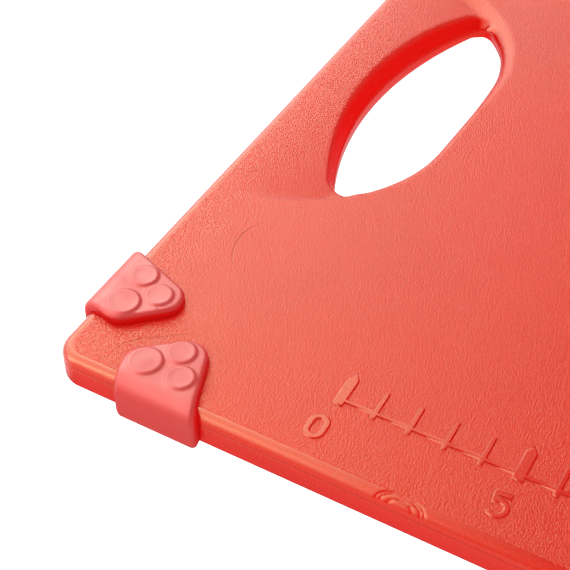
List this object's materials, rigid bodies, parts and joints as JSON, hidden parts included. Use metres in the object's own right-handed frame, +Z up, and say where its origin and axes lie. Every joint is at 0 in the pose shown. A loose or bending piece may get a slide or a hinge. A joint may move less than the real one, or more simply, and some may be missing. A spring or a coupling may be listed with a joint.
{
  "type": "cutting board",
  "caption": "Flat red plastic cutting board with a carrying handle at one end, a raised centimetre ruler along one edge and soft grips wrapped over the edges at its corners.",
  "frame": {"origin": "under the middle of the board, on the surface that the lower bumps of the grips stand on", "axes": "+X along the board's length, away from the handle; +Y across it, away from the ruler; +Z up out of the ruler's face"},
  "size_m": [0.4632, 0.3108, 0.0178],
  "materials": {
    "board_plastic": "fine moulded grain on both faces, smooth satin edges",
    "grip_rubber": "soft matt rubber with a fine sheen"
  },
  "bodies": {
    "root": {"board": "board_plastic", "front_edge_left_grip": "grip_rubber", "front_edge_right_grip": "grip_rubber", "back_edge_left_grip": "grip_rubber", "back_edge_right_grip": "grip_rubber", "left_edge_front_grip": "grip_rubber", "left_edge_back_grip": "grip_rubber", "right_edge_front_grip": "grip_rubber", "right_edge_back_grip": "grip_rubber"}
  },
  "joints": []
}
